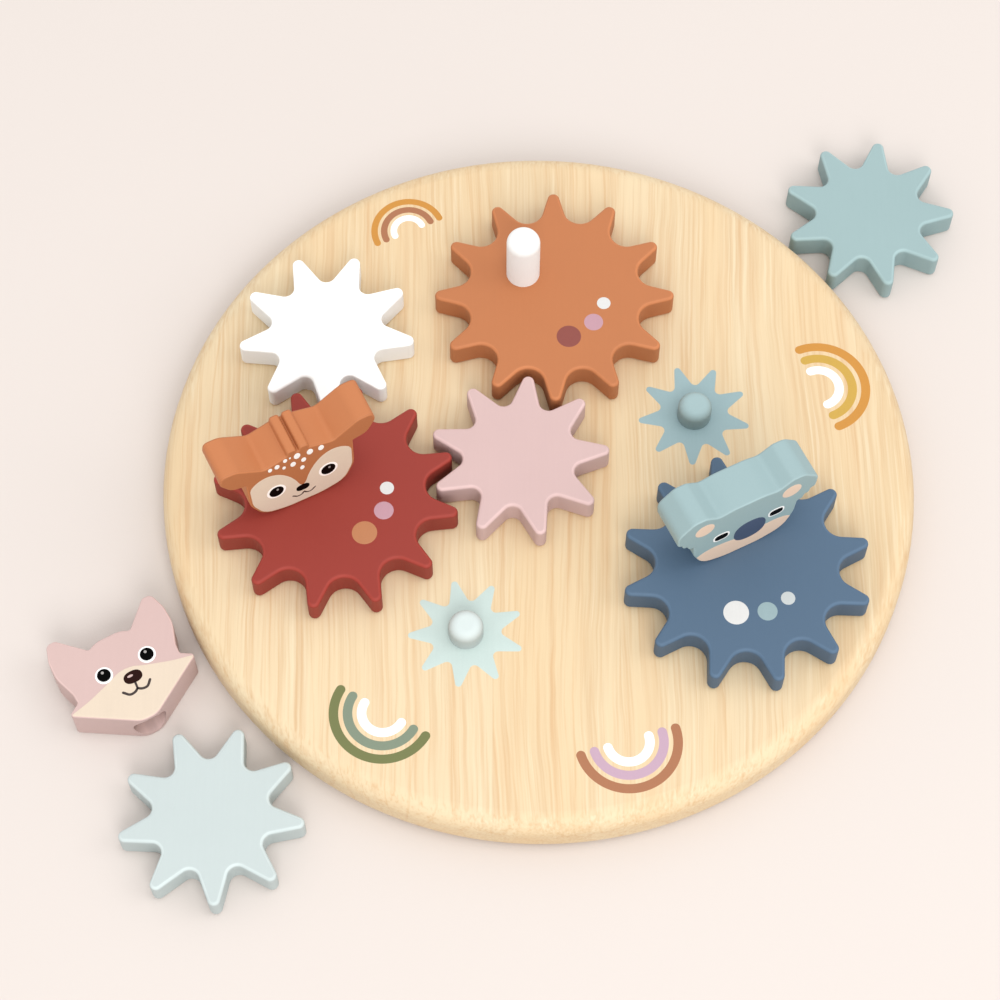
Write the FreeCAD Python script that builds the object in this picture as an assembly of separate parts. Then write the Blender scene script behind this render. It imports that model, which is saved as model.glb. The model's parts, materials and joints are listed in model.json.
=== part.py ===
"""Wooden crank gear toy: a round board with pegs, seven gears and three animal head knobs.

Millimetres, +Z up. The origin is the centre of the board's underside. Gears drop onto the pegs
of the board, large ones carry an off-centre crank peg, and an animal head slips over that peg.
Two gears and one head lie beside the board, on the surface that it stands on.
"""
import FreeCAD, Part

import math
import os

os.makedirs("parts", exist_ok=True)
Vector = FreeCAD.Vector
Z_AXIS = Vector(0, 0, 1)

SAME_LEVEL = 1e-6

# ---- board ----
BOARD_RADIUS = 140.0
BOARD_THICKNESS = 18.0
BOARD_TOP_ROUND = 7.0
BOARD_BOTTOM_ROUND = 4.0
BOARD_FLOOR = 7.6

# ---- gears: large and medium share one tooth pitch, so any large one drives any medium one ----
MODULE = 6.6
LARGE_TEETH = 12
MEDIUM_TEETH = 9
LARGE_TIP_HEIGHT = 5.7
MEDIUM_TIP_HEIGHT = 3.5
TIP_TO_ROOT_GAP = 2.85
TOOTH_TIP_ROUND = 2.3
LARGE_FLANK_ANGLE = 15.5
MEDIUM_FLANK_ANGLE = 17.0
GEAR_THICKNESS = 11.5
GEAR_TOP_SKIN = 1.9
GEAR_CRANK_FLOOR = 3.6
GEAR_EDGE_ROUND = 1.4

# ---- clearances ----
TENON_CLEARANCE = 0.05
SOCKET_CLEARANCE = 0.10
HOLE_END_CLEARANCE = 0.4

# ---- pegs: a body of one radius for the board and the cranks, and a thinner tenon below ----
PEG_RADIUS = 6.3
PEG_TOP_FLAT = 2.6
PEG_HEIGHT = GEAR_THICKNESS - GEAR_TOP_SKIN - HOLE_END_CLEARANCE
CRANK_PEG_TOP_FLAT = 1.5
CRANK_PEG_HEIGHT = 26.0
TENON_SHOULDER = 2.3
TENON_RADIUS = PEG_RADIUS - TENON_SHOULDER
AXLE_TENON_LENGTH = BOARD_THICKNESS - BOARD_FLOOR - HOLE_END_CLEARANCE
CRANK_TENON_LENGTH = GEAR_THICKNESS - GEAR_CRANK_FLOOR - HOLE_END_CLEARANCE
SOCKET_RADIUS = PEG_RADIUS + SOCKET_CLEARANCE
TENON_HOLE_RADIUS = TENON_RADIUS + TENON_CLEARANCE
HOLE_WEB = 4.75
CRANK_RADIUS = SOCKET_RADIUS + HOLE_WEB + TENON_HOLE_RADIUS

# ---- animal heads, cut from one stock ----
HEAD_WALL = 1.6
HEAD_THICKNESS = 2 * (SOCKET_RADIUS + HEAD_WALL)
HEAD_EDGE_ROUND = 0.8
DEER_HEIGHT = 42.6
KOALA_HEIGHT = 39.8
FOX_HEIGHT = 43.2
STANDING_HEAD_TURN = 26.5

# ---- layout on the board: one gear spacing, and the direction of each step, in degrees ----
# Orange, teal and pink stand in an equal-sided triangle, and so do red, mint and pink.
GEAR_SPACING = MODULE * (LARGE_TEETH + MEDIUM_TEETH) / 2
TRIANGLE_CORNER = 60.0
PINK_X = -7.2
PINK_Y = 1.1
PINK_TO_ORANGE = 78.8
PINK_TO_TEAL = PINK_TO_ORANGE - TRIANGLE_CORNER
PINK_TO_RED = 193.7
PINK_TO_MINT = PINK_TO_RED + TRIANGLE_CORNER
RED_TO_WHITE = 94.3
TEAL_TO_NAVY = 283.6
ORANGE_PHASE = 0.0
NAVY_PHASE = 12.5
ORANGE_CRANK_ANGLE = 141.5
RED_CRANK_ANGLE = 161.0
NAVY_CRANK_ANGLE = 111.0

# ---- loose pieces, beside the board: directions are seen from its centre, in degrees ----
LOOSE_GEAR_GAP = 2.4
FOX_CHIN_GAP = 29.5
FOX_TO_MINT_GAP = 8.4
FOX_DIRECTION = 214.9
FOX_LEAN = 5.9
LIGHT_BLUE_DIRECTION = 41.8
LIGHT_BLUE_PHASE = 0.0
MINT_PHASE = 34.6


def step(place, distance, angle):
    """The point that lies a distance away from a place, at an angle in degrees from +X."""
    turn = math.radians(angle)
    return place[0] + distance * math.cos(turn), place[1] + distance * math.sin(turn)


def angle_apart(first_distance, second_distance, apart):
    """The angle in degrees between two places, seen from the board's centre."""
    squares = first_distance ** 2 + second_distance ** 2 - apart ** 2
    return math.degrees(math.acos(squares / (2 * first_distance * second_distance)))


def meshed_phase(phase, teeth, direction, other_teeth):
    """Phase of a second gear whose tooth stands in the middle of a gap of the first.

    The direction is the angle from the first gear's centre to the second's.
    """
    gap_from_line = phase + 180.0 / teeth - direction
    return direction + 180.0 - gap_from_line * teeth / other_teeth


class GearSize:
    """Sizes of one kind of gear: teeth, tip and root radii, and the slope of the flanks."""

    def __init__(self, teeth, tip_height, mate_teeth, mate_tip_height, flank_angle):
        self.teeth = teeth
        self.tip_radius = MODULE * teeth / 2 + tip_height
        mate_tip_radius = MODULE * mate_teeth / 2 + mate_tip_height
        self.root_radius = GEAR_SPACING - mate_tip_radius - TIP_TO_ROOT_GAP
        self.flank = math.radians(flank_angle)


LARGE = GearSize(LARGE_TEETH, LARGE_TIP_HEIGHT, MEDIUM_TEETH, MEDIUM_TIP_HEIGHT, LARGE_FLANK_ANGLE)
MEDIUM = GearSize(MEDIUM_TEETH, MEDIUM_TIP_HEIGHT, LARGE_TEETH, LARGE_TIP_HEIGHT, MEDIUM_FLANK_ANGLE)


def turned(x, y, turn):
    """A point of the XY plane turned about the origin."""
    return Vector(x * math.cos(turn) - y * math.sin(turn), x * math.sin(turn) + y * math.cos(turn), 0)


def gear_outline(size):
    """Closed tooth outline: a round tip, a straight flank and a round valley, all tangent.

    The valley's radius is the one that touches both flanks and the root circle.
    """
    half_pitch = math.pi / size.teeth
    tip_centre = size.tip_radius - TOOTH_TIP_ROUND
    flank_offset = tip_centre * math.sin(size.flank) + TOOTH_TIP_ROUND
    spread = math.sin(size.flank + half_pitch)
    valley_round = (size.root_radius * spread - flank_offset) / (1 - spread)
    valley_centre = size.root_radius + valley_round
    valley_x = valley_centre * math.cos(half_pitch) - valley_round * math.sin(size.flank)
    valley_y = valley_centre * math.sin(half_pitch) - valley_round * math.cos(size.flank)
    tip_x = tip_centre + TOOTH_TIP_ROUND * math.sin(size.flank)
    tip_y = TOOTH_TIP_ROUND * math.cos(size.flank)
    edges = []
    for tooth in range(size.teeth):
        turn = 2 * half_pitch * tooth
        tip_start = turned(tip_x, -tip_y, turn)
        tip_end = turned(tip_x, tip_y, turn)
        valley_start = turned(valley_x, valley_y, turn)
        valley_middle = turned(size.root_radius, 0, turn + half_pitch)
        valley_end = turned(valley_x, -valley_y, turn + 2 * half_pitch)
        next_tip = turned(tip_x, -tip_y, turn + 2 * half_pitch)
        edges.append(Part.Arc(tip_start, turned(size.tip_radius, 0, turn), tip_end).toShape())
        edges.append(Part.LineSegment(tip_end, valley_start).toShape())
        edges.append(Part.Arc(valley_start, valley_middle, valley_end).toShape())
        edges.append(Part.LineSegment(valley_end, next_tip).toShape())
    return Part.Wire(edges)


def edges_at(solid, level, along_y=False):
    """Edges that lie wholly in the plane at a level of Z, or of Y."""
    found = []
    for edge in solid.Edges:
        box = edge.BoundBox
        low, high = (box.YMin, box.YMax) if along_y else (box.ZMin, box.ZMax)
        if abs(low - level) < SAME_LEVEL and abs(high - level) < SAME_LEVEL:
            found.append(edge)
    return found


def blind_hole(place, bottom, radius, depth):
    """Cylinder that cuts a blind hole upwards from a level."""
    return Part.makeCylinder(radius, depth, Vector(place[0], place[1], bottom), Z_AXIS)


def gear(size, place, phase, bottom, crank_angle=None):
    """A gear with softened edges and a blind peg hole below; a large one has a crank peg hole."""
    blank = Part.Face(gear_outline(size)).extrude(Vector(0, 0, GEAR_THICKNESS))
    rims = edges_at(blank, 0) + edges_at(blank, GEAR_THICKNESS)
    blank = blank.makeFillet(GEAR_EDGE_ROUND, rims)
    blank.rotate(Vector(0, 0, 0), Z_AXIS, phase)
    blank.translate(Vector(place[0], place[1], bottom))
    blank = blank.cut(blind_hole(place, bottom, SOCKET_RADIUS, PEG_HEIGHT + HOLE_END_CLEARANCE))
    if crank_angle is not None:
        depth = CRANK_TENON_LENGTH + HOLE_END_CLEARANCE
        crank_place = step(place, CRANK_RADIUS, crank_angle)
        hole_bottom = bottom + GEAR_THICKNESS - depth
        blank = blank.cut(blind_hole(crank_place, hole_bottom, TENON_HOLE_RADIUS, depth))
    return blank


def peg(place, seat, height, top_flat, tenon_length):
    """A turned peg: a round-topped body that stands on its seat, and a thinner tenon below."""
    body = Part.makeCylinder(PEG_RADIUS, height, Vector(place[0], place[1], seat), Z_AXIS)
    body = body.makeFillet(PEG_RADIUS - top_flat, edges_at(body, seat + height))
    tenon_bottom = Vector(place[0], place[1], seat - tenon_length)
    tenon = Part.makeCylinder(TENON_RADIUS, tenon_length, tenon_bottom, Z_AXIS)
    return body.fuse(tenon).removeSplitter()


def board(peg_places):
    """The round board, with a soft rim and a tenon hole for every peg."""
    disc = Part.makeCylinder(BOARD_RADIUS, BOARD_THICKNESS)
    disc = disc.makeFillet(BOARD_TOP_ROUND, edges_at(disc, BOARD_THICKNESS))
    disc = disc.makeFillet(BOARD_BOTTOM_ROUND, edges_at(disc, 0))
    depth = AXLE_TENON_LENGTH + HOLE_END_CLEARANCE
    for place in peg_places:
        disc = disc.cut(blind_hole(place, BOARD_THICKNESS - depth, TENON_HOLE_RADIUS, depth))
    return disc


# Right halves of the head outlines, from the chin's middle round to the crown's: each corner is
# (distance from the middle, height above the chin, rounding radius), in shares of the head's height.
DEER_HALF = [
    (0.1643, 0.0000, 0.4695),
    (0.3873, 0.0610, 0.2113),
    (0.4836, 0.2934, 0.3286),
    (0.4906, 0.6901, 0.0188),
    (0.6197, 0.7183, 0.1174),
    (0.7089, 0.8826, 0.1174),
    (0.6901, 1.0000, 0.0563),
    (0.5516, 1.0000, 0.1408),
    (0.3099, 0.8310, 0.0610),
    (0.1056, 0.9014, 0.0117),
    (0.0939, 0.9624, 0.0282),
    (0.0188, 0.9624, 0.0258),
    (0.0059, 0.9108, 0.0047),
]
KOALA_HALF = [
    (0.1759, 0.0000, 0.5025),
    (0.4171, 0.0653, 0.2261),
    (0.5126, 0.3015, 0.3769),
    (0.5276, 0.5025, 0.0201),
    (0.5804, 0.5101, 0.0251),
    (0.5930, 0.5729, 0.0176),
    (0.6407, 0.5829, 0.0251),
    (0.6508, 0.6482, 0.0176),
    (0.6960, 0.6658, 0.0352),
    (0.7085, 0.8392, 0.1382),
    (0.5528, 1.0000, 0.1131),
    (0.4322, 1.0000, 0.0754),
    (0.2965, 0.9045, 0.0754),
    (0.1508, 0.9372, 0.3518),
]
FOX_HALF = [
    (0.0694, 0.0000, 0.1852),
    (0.5833, 0.3287, 0.0278),
    (0.4676, 0.4028, 0.0231),
    (0.4722, 0.4861, 0.1389),
    (0.5370, 0.6829, 0.2778),
    (0.5324, 0.8449, 0.2083),
    (0.4838, 1.0000, 0.0556),
    (0.4028, 1.0000, 0.0463),
    (0.1898, 0.7870, 0.0278),
    (0.1042, 0.8264, 0.2315),
]


def head_outline(half, height):
    """Closed outline in the XZ plane: the half and its mirror image, each corner rounded."""
    right = [(x * height, z * height, r * height) for x, z, r in half]
    corners = right + [(-x, z, r) for x, z, r in reversed(right)]
    count = len(corners)
    arcs = []
    for index in range(count):
        x, z, radius = corners[index]
        point = Vector(x, 0, z)
        before = Vector(corners[index - 1][0], 0, corners[index - 1][1]) - point
        after_corner = corners[(index + 1) % count]
        after = Vector(after_corner[0], 0, after_corner[1]) - point
        before.normalize()
        after.normalize()
        half_angle = before.getAngle(after) / 2
        trim = radius / math.tan(half_angle)
        inwards = before + after
        inwards.normalize()
        centre = point + inwards * (radius / math.sin(half_angle))
        arcs.append((point + before * trim, centre - inwards * radius, point + after * trim))
    edges = []
    for index in range(count):
        start, middle, end = arcs[index]
        edges.append(Part.Arc(start, middle, end).toShape())
        edges.append(Part.LineSegment(end, arcs[(index + 1) % count][0]).toShape())
    return Part.Wire(edges)


def head(half, height):
    """A head that stands at the origin and faces -Y, with a blind socket up from its chin."""
    face = Part.Face(head_outline(half, height))
    body = face.extrude(Vector(0, HEAD_THICKNESS, 0))
    rims = edges_at(body, 0, along_y=True) + edges_at(body, HEAD_THICKNESS, along_y=True)
    body = body.makeFillet(HEAD_EDGE_ROUND, rims)
    body.translate(Vector(0, -HEAD_THICKNESS / 2, 0))
    return body.cut(blind_hole((0, 0), 0, SOCKET_RADIUS, CRANK_PEG_HEIGHT + HOLE_END_CLEARANCE))


def standing_head(solid, place, seat):
    """A head slipped over a crank peg, its chin on the gear."""
    solid.rotate(Vector(0, 0, 0), Z_AXIS, STANDING_HEAD_TURN)
    solid.translate(Vector(place[0], place[1], seat))
    return solid


def lying_head(solid, chin_place, turn):
    """A head on its back, face up, on the surface that the board stands on."""
    solid.rotate(Vector(0, 0, 0), Vector(1, 0, 0), -90)
    solid.rotate(Vector(0, 0, 0), Z_AXIS, turn)
    solid.translate(Vector(chin_place[0], chin_place[1], HEAD_THICKNESS / 2))
    return solid


def build():
    """Every sub-part, by name."""
    pink = (PINK_X, PINK_Y)
    orange = step(pink, GEAR_SPACING, PINK_TO_ORANGE)
    teal = step(pink, GEAR_SPACING, PINK_TO_TEAL)
    red = step(pink, GEAR_SPACING, PINK_TO_RED)
    mint = step(pink, GEAR_SPACING, PINK_TO_MINT)
    white = step(red, GEAR_SPACING, RED_TO_WHITE)
    navy = step(teal, GEAR_SPACING, TEAL_TO_NAVY)
    pink_phase = meshed_phase(ORANGE_PHASE, LARGE.teeth, PINK_TO_ORANGE + 180.0, MEDIUM.teeth)
    red_phase = meshed_phase(pink_phase, MEDIUM.teeth, PINK_TO_RED, LARGE.teeth)
    white_phase = meshed_phase(red_phase, LARGE.teeth, RED_TO_WHITE, MEDIUM.teeth)

    parts = {"board": board([orange, pink, red, white, navy, teal, mint])}

    for name, place in (("teal_peg", teal), ("mint_peg", mint),
                        ("orange_axle_peg", orange), ("pink_axle_peg", pink),
                        ("red_axle_peg", red), ("white_axle_peg", white),
                        ("navy_axle_peg", navy)):
        parts[name] = peg(place, BOARD_THICKNESS, PEG_HEIGHT, PEG_TOP_FLAT, AXLE_TENON_LENGTH)

    on_board = (("orange", LARGE, orange, ORANGE_PHASE, ORANGE_CRANK_ANGLE),
                ("pink", MEDIUM, pink, pink_phase, None),
                ("red", LARGE, red, red_phase, RED_CRANK_ANGLE),
                ("white", MEDIUM, white, white_phase, None),
                ("navy", LARGE, navy, NAVY_PHASE, NAVY_CRANK_ANGLE))
    gear_top = BOARD_THICKNESS + GEAR_THICKNESS
    crank_places = {}
    for name, size, place, phase, crank_angle in on_board:
        parts[name + "_gear"] = gear(size, place, phase, BOARD_THICKNESS, crank_angle)
        if crank_angle is not None:
            crank_places[name] = step(place, CRANK_RADIUS, crank_angle)
            parts[name + "_crank_peg"] = peg(crank_places[name], gear_top, CRANK_PEG_HEIGHT,
                                             CRANK_PEG_TOP_FLAT, CRANK_TENON_LENGTH)

    parts["deer_head"] = standing_head(head(DEER_HALF, DEER_HEIGHT), crank_places["red"], gear_top)
    parts["koala_head"] = standing_head(head(KOALA_HALF, KOALA_HEIGHT), crank_places["navy"], gear_top)

    chin_distance = BOARD_RADIUS + FOX_CHIN_GAP
    fox_chin = step((0, 0), chin_distance, FOX_DIRECTION)
    fox_turn = FOX_DIRECTION - 180.0 - FOX_LEAN
    parts["fox_head"] = lying_head(head(FOX_HALF, FOX_HEIGHT), fox_chin, fox_turn)

    loose_distance = BOARD_RADIUS + MEDIUM.tip_radius + LOOSE_GEAR_GAP
    chin_to_mint = MEDIUM.tip_radius + FOX_TO_MINT_GAP
    mint_direction = FOX_DIRECTION + angle_apart(chin_distance, loose_distance, chin_to_mint)
    for name, direction, phase in (("light_blue_gear", LIGHT_BLUE_DIRECTION, LIGHT_BLUE_PHASE),
                                   ("mint_gear", mint_direction, MINT_PHASE)):
        parts[name] = gear(MEDIUM, step((0, 0), loose_distance, direction), phase, 0)
    return parts


for node, shape in build().items():
    solids = shape.Solids
    if len(solids) != 1 or not shape.isValid():
        raise ValueError(node + " isn't one valid solid")
    solids[0].exportStep("parts/" + node + ".step")
    print(node, "volume", round(shape.Volume), "mm3")
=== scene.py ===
"""Dresses a wooden crank gear toy: lacquered board, painted gears and pegs, printed faces.

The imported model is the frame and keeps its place. What this script adds is the finish of every
piece and the printed layers of paint on them: stars round the pegs, rainbows and dots, and the
animals' faces. Each layer is a thin closed film. Lengths are in metres unless a name says mm.
"""
import json
import math

import bpy
import numpy as np
from bpy.props import FloatProperty, FloatVectorProperty, PointerProperty
from bpy.types import Operator, Panel, PropertyGroup
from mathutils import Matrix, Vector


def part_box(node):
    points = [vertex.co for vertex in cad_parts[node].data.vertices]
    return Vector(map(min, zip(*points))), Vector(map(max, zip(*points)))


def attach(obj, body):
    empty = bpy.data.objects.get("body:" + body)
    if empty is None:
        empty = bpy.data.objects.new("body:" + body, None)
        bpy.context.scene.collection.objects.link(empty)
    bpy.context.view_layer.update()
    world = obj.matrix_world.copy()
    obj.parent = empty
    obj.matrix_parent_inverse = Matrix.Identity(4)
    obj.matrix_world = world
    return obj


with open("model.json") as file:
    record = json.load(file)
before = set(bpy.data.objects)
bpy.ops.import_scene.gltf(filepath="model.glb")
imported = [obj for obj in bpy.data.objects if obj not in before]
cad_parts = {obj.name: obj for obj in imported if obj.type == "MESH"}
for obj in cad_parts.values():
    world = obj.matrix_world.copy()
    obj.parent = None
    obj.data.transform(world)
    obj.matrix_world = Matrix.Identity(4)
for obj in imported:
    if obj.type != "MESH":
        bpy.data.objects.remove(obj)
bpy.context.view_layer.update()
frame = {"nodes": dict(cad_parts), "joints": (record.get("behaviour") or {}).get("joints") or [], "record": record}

bl_info = {
    "name": "Wooden crank gear toy",
    "version": (1, 0, 0),
    "blender": (4, 5, 0),
    "location": "3D View > Sidebar > Gear Toy",
    "description": "Finishes the wood, paint and printed faces of a wooden crank gear toy",
    "category": "Object",
}

MM = 0.001

# ---- what the frame says about the pieces ----
MOUNTS = {mount["name"]: mount for mount in frame["record"]["mounts"]}
JOINTS = {joint["name"]: joint for joint in frame["joints"]}
BOARD_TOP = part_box("board")[1].z
GEAR_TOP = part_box("orange_gear")[1].z
SOCKET_RADIUS = 6.4 * MM
GEAR_SOCKET_DEPTH = 9.6 * MM
HEAD_SOCKET_DEPTH = 26.4 * MM
SOCKET_PAINT_DEPTH = 5.0 * MM
SOCKET_PAINT_FADE = 3.0 * MM
HEAD_THICKNESS = 16.0 * MM
HEAD_EDGE_ROUND = 0.8 * MM
STANDING_HEAD_TURN = math.radians(26.5)
FOX_TURN = math.radians(29.0)
LARGE_GEARS = ("orange", "red", "navy")
MEDIUM_GEARS = ("pink", "white")
LOOSE_GEARS = ("light_blue", "mint")
UP = (0, 0, 1)

# ---- films of paint: distances in from the edge, heights there, and how far a film is sunk ----
EDGE_STEPS = np.array([0.0, 0.07, 0.15, 0.3, 0.5, 0.8]) * MM
EDGE_HEIGHTS = np.array([0.4, 0.87, 1.0, 1.0, 1.0, 1.0])
FILM_SINK = 0.10 * MM
CHEEK_POINTS = 70
SHARP_TURN = math.radians(50)

# ---- wood: width across the fibres and length along them of what it shows, in millimetres ----
BANDS, LINES, THREADS, HAIRS = (30.0, 260.0), (3.4, 140.0), (1.0, 60.0), (0.4, 16.0)
PATCHES = (12.0, 90.0)
SWAY_REACH, WAVER_REACH = 18.0, 1.3
RING_WIDTH = 5.5
BOARD_STAVE, PEG_STAVE = 46.0, 60.0

# ---- how deep each finish is felt, in millimetres, and how much it mirrors ----
PAINT_RELIEF, INK_RELIEF, GLOSS_RELIEF, FLOOR_RELIEF = 0.05, 0.03, 0.02, 0.02
LACQUER_MIRROR, PAINT_MIRROR, GLOSS_MIRROR = 0.50, 0.30, 0.03


# ============================== shapes in the plane ==============================

def turned(flat, angle):
    """Points of the plane turned about the origin: each is multiplied by the rotation's matrix."""
    cos, sin = math.cos(angle), math.sin(angle)
    return flat @ np.array([[cos, sin], [-sin, cos]])


def mirrored(flat):
    """A path from the middle to the right, lengthened to the left by its mirror image."""
    left = flat[::-1] * (-1, 1)
    return np.concatenate([left, flat[1:]])


def smooth_path(points, steps=8):
    """A Catmull-Rom curve: each span is a cubic whose end slopes follow the neighbouring points."""
    points = np.asarray(points, float)
    padded = np.concatenate([2 * points[:1] - points[1:2], points, 2 * points[-1:] - points[-2:-1]])
    a, b, c, d = padded[:-3], padded[1:-2], padded[2:-1], padded[3:]
    t = np.linspace(0, 1, steps, endpoint=False)[:, None, None]
    spans = 0.5 * (2 * b + (c - a) * t + (2 * a - 5 * b + 4 * c - d) * t ** 2
                   + (3 * b - a - 3 * c + d) * t ** 3)
    return np.concatenate([spans.transpose(1, 0, 2).reshape(-1, 2), points[-1:]])


def evenly(path, count):
    """A path with count points at equal distances along it."""
    lengths = np.linalg.norm(np.diff(path, axis=0), axis=1)
    along = np.concatenate([[0], np.cumsum(lengths)])
    wanted = np.linspace(0, along[-1], count)
    return np.stack([np.interp(wanted, along, path[:, axis]) for axis in (0, 1)], axis=1)


def path_normals(path):
    """Unit normals to the left of a path, from the slope at each point."""
    slope = np.gradient(path, axis=0)
    slope /= np.linalg.norm(slope, axis=1)[:, None]
    return np.stack([-slope[:, 1], slope[:, 0]], axis=1)


def oval(centre, across, up, power=2.0, count=40):
    """A closed oval: half widths times signed powers of cosine and sine; over 2 it is squarer."""
    angle = np.linspace(0, 2 * math.pi, count, endpoint=False)
    rounded = np.stack([np.cos(angle), np.sin(angle)], axis=1)
    return np.sign(rounded) * np.abs(rounded) ** (2 / power) * (across, up) + centre


def rounded_outline(corners, steps=7):
    """A closed outline from (x, y, radius) corners, each cut by an arc that touches both sides."""
    corners = np.asarray(corners, float)
    point, radius = corners[:, :2], corners[:, 2:]
    before, after = np.roll(point, 1, axis=0) - point, np.roll(point, -1, axis=0) - point
    before /= np.linalg.norm(before, axis=1)[:, None]
    after /= np.linalg.norm(after, axis=1)[:, None]
    half = np.arccos(np.sum(before * after, axis=1))[:, None] / 2
    inwards = (before + after) / np.linalg.norm(before + after, axis=1)[:, None]
    centre = point + inwards * radius / np.sin(half)
    start = point + before * radius / np.tan(half) - centre
    end = point + after * radius / np.tan(half) - centre
    first = np.arctan2(start[:, 1], start[:, 0])[:, None]
    sweep = np.arctan2(end[:, 1], end[:, 0])[:, None] - first
    sweep = (sweep + math.pi) % (2 * math.pi) - math.pi
    angle = first + sweep * np.linspace(0, 1, steps)
    arcs = centre[:, None] + radius[:, None] * np.stack([np.cos(angle), np.sin(angle)], axis=2)
    return arcs.reshape(-1, 2)


def star_outline(points, tip, valley, slope, tip_round, turn, steps=7):
    """A gear-like star: a round tip, a straight flank and a round valley for each point.

    The valley's arc touches both flanks and the circle of the valley radius.
    """
    half_pitch = math.pi / points
    tip_centre = tip - tip_round
    offset = tip_centre * math.sin(slope) + tip_round
    spread = math.sin(slope + half_pitch)
    valley_round = (valley * spread - offset) / (1 - spread)
    tip_angle = np.linspace(slope - math.pi / 2, math.pi / 2 - slope, steps)
    tip_arc = np.stack([np.cos(tip_angle), np.sin(tip_angle)], axis=1) * tip_round + (tip_centre, 0)
    reach = math.pi / 2 - slope - half_pitch
    valley_angle = np.linspace(math.pi + reach, math.pi - reach, steps)
    valley_arc = np.stack([np.cos(valley_angle), np.sin(valley_angle)], axis=1) * valley_round
    valley_arc = turned(valley_arc + (valley + valley_round, 0), half_pitch)
    tooth = np.concatenate([tip_arc, valley_arc])
    return np.concatenate([turned(tooth, turn + 2 * half_pitch * k) for k in range(points)])


def distance_to(outline, flat):
    """Distance from each point to a closed outline.

    It is the least distance to the foot of the perpendicular on each side, kept within that side.
    """
    start = outline[None]
    side = np.roll(outline, -1, axis=0)[None] - start
    reach = flat[:, None] - start
    share = np.sum(reach * side, axis=2) / np.maximum(np.sum(side * side, axis=2), 1e-18)
    nearest = reach - side * np.clip(share, 0, 1)[..., None]
    return np.sqrt(np.min(np.sum(nearest * nearest, axis=2), axis=1))


# ============================== films on flat faces ==============================

class Face:
    """A flat face that films lie on: u runs across, v up, and a border may be rounded off."""

    def __init__(self, origin, across, up, border=None):
        self.origin = np.array(origin, float)
        self.across = np.array(across, float)
        self.up = np.array(up, float)
        self.out = np.cross(self.across, self.up)
        self.border = border

    def lay(self, flat, lift):
        """Points over the face; within the edge's radius r of the border the face drops.

        At a distance d from the border it lies r - sqrt(r² - (r - d)²) lower.
        """
        if self.border is not None:
            short = np.clip(HEAD_EDGE_ROUND - distance_to(self.border, flat), 0, HEAD_EDGE_ROUND)
            lift = lift - (HEAD_EDGE_ROUND - np.sqrt(HEAD_EDGE_ROUND ** 2 - short ** 2))
        lift = np.broadcast_to(lift, len(flat))
        return (self.origin + flat[:, :1] * self.across + flat[:, 1:] * self.up
                + lift[:, None] * self.out)


def closed_surface(rings, start, end):
    """Points and faces of rings, joined one to the next and closed by a pole at each end.

    The faces are turned over where the sum of the tetrahedra under them comes out negative.
    """
    rows, columns, _ = rings.shape
    points = np.concatenate([rings.reshape(-1, 3), start, end])
    index = np.arange(rows * columns).reshape(rows, columns)
    beside = np.roll(index, -1, axis=1)
    quads = np.stack([index[:-1], beside[:-1], beside[1:], index[1:]], axis=-1).reshape(-1, 4)
    poles = np.full(columns, rows * columns)
    caps = np.concatenate([np.stack([poles, beside[0], index[0]], axis=1),
                           np.stack([poles + 1, index[-1], beside[-1]], axis=1)])
    a, b, c = points[caps[:, 0]], points[caps[:, 1]], points[caps[:, 2]]
    volume = np.sum(a * np.cross(b, c))
    for corners in ((0, 1, 2), (0, 2, 3)):
        a, b, c = (points[quads[:, corner]] for corner in corners)
        volume += np.sum(a * np.cross(b, c))
    if volume < 0:
        quads, caps = quads[:, ::-1], caps[:, ::-1]
    return points, quads, caps


def patch_film(face, outline, centre, lift, height):
    """A film over an outline that is seen whole from its centre.

    Rows are the outline drawn in towards the centre: flat inside, rounded over the last steps,
    and carried down into the face it lies on.
    """
    arm = outline - centre
    length = np.linalg.norm(arm, axis=1)[:, None]
    drawn_in = [arm * 0.5] + [arm * (1 - step / length) for step in EDGE_STEPS[2::-1]]
    heights = [height] + list(height * EDGE_HEIGHTS[2::-1])
    rows = [face.lay(centre + row, lift + top) for row, top in zip(drawn_in, heights)]
    rows += [face.lay(outline, lift - FILM_SINK), face.lay(centre + arm * 0.5, lift - FILM_SINK)]
    middle = np.array([centre], float)
    return closed_surface(np.array(rows), face.lay(middle, lift + height),
                          face.lay(middle, lift - FILM_SINK))


def ruled_film(face, lower, upper, lift, height):
    """A film between two paths that share both end points.

    Each cross-section runs from the lower path to the upper one over the top, with rounded
    edges, and back through the face it lies on.
    """
    width = np.linalg.norm(upper - lower, axis=1)[1:-1, None]
    near = np.minimum(EDGE_STEPS / width, 0.4 * np.linspace(0, 1, len(EDGE_STEPS)))
    middle = near[:, -1:] + (1 - 2 * near[:, -1:]) * np.linspace(0, 1, 5)[1:-1]
    bottom = np.broadcast_to([1.0, 0.5, 0.0], (len(width), 3))
    shares = np.concatenate([near, middle, 1 - near[:, ::-1], bottom], axis=1)
    tops = np.concatenate([EDGE_HEIGHTS, np.ones(3), EDGE_HEIGHTS[::-1]]) * height
    lifts = lift + np.concatenate([tops, np.full(3, -FILM_SINK)])
    flat = lower[1:-1, None] + (upper - lower)[1:-1, None] * shares[..., None]
    rings = face.lay(flat.reshape(-1, 2), np.tile(lifts, len(width))).reshape(*shares.shape, 3)
    return closed_surface(rings, face.lay(lower[:1], lift), face.lay(lower[-1:], lift))


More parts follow.
